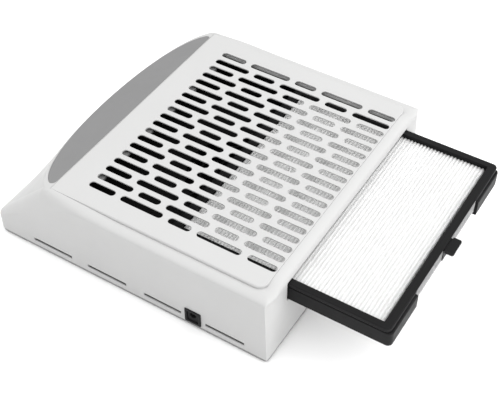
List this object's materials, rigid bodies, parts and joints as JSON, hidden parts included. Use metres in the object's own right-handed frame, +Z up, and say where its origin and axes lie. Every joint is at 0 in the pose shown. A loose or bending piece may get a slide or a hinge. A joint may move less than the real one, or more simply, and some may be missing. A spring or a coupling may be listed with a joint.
{
  "type": "nail dust collector",
  "caption": "Table-top nail dust collector: white casing with a slotted deck over a suction fan, and a pleated filter cassette drawn part way out of its back.",
  "frame": {"origin": "middle of the underside of the feet, under the middle of the whole object with the filter cassette drawn out as at rest", "axes": "+X towards the cassette's pull tab, +Y away from the side with the power inlet, +Z up"},
  "size_m": [0.349, 0.2522, 0.0715],
  "materials": {
    "white_plastic": "fine satin moulding",
    "grey_trim": "satin",
    "base_plastic": "matt",
    "black_plastic": "satin moulding",
    "filter_paper": "pleated fibre",
    "steel": "plated",
    "magnet": "sintered",
    "aluminium": "turned",
    "copper_winding": "enamelled wire",
    "circuit_board": "solder mask",
    "rubber": "matt",
    "lead": "matt"
  },
  "bodies": {
    "housing": {"upper_casing": "white_plastic", "deck_grille": "white_plastic", "trim_panel": "grey_trim", "base_plate": "base_plastic", "foot_1": "rubber", "foot_2": "rubber", "foot_3": "rubber", "foot_4": "rubber", "fan_deck": "black_plastic", "fan_guard": "black_plastic", "guide_rail_near": "black_plastic", "guide_rail_far": "black_plastic", "motor_mount": "aluminium", "motor_stator": "copper_winding", "bearing_lower": "steel", "bearing_upper": "steel", "jack_bezel": "black_plastic", "dc_jack": "black_plastic", "switch_body": "black_plastic", "control_board": "circuit_board", "jack_lead": "lead", "motor_lead": "lead", "switch_lead": "lead", "case_screw_1": "steel", "case_screw_2": "steel", "case_screw_3": "steel", "case_screw_4": "steel", "case_screw_5": "steel", "case_screw_6": "steel", "fan_deck_screw_1": "steel", "fan_deck_screw_2": "steel", "fan_deck_screw_3": "steel", "fan_deck_screw_4": "steel", "motor_screw_1": "steel", "motor_screw_2": "steel", "motor_screw_3": "steel", "board_screw_1": "steel", "board_screw_2": "steel"},
    "fan_rotor": {"impeller": "black_plastic", "rotor_cup": "steel", "magnet_ring": "magnet", "shaft": "steel", "shaft_clip": "steel"},
    "filter_cassette": {"filter_tray": "black_plastic", "filter_rim": "black_plastic", "filter_media": "filter_paper"},
    "rocker": {"power_rocker": "black_plastic"}
  },
  "joints": [
    {"name": "cassette_slide", "type": "slide", "parent": "housing", "child": "filter_cassette", "axis": [1, 0, 0], "range_m": [-0.0815, 0.105]},
    {"name": "fan_spin", "type": "hinge", "parent": "housing", "child": "fan_rotor", "pos_m": [-0.0145, 0, 0.0175], "axis": [0, 0, 1], "continuous": true},
    {"name": "rocker_tilt", "type": "hinge", "parent": "housing", "child": "rocker", "pos_m": [0.0405, 0.1217, 0.0295], "axis": [0, 0, 1], "range_deg": [0, 14]}
  ]
}
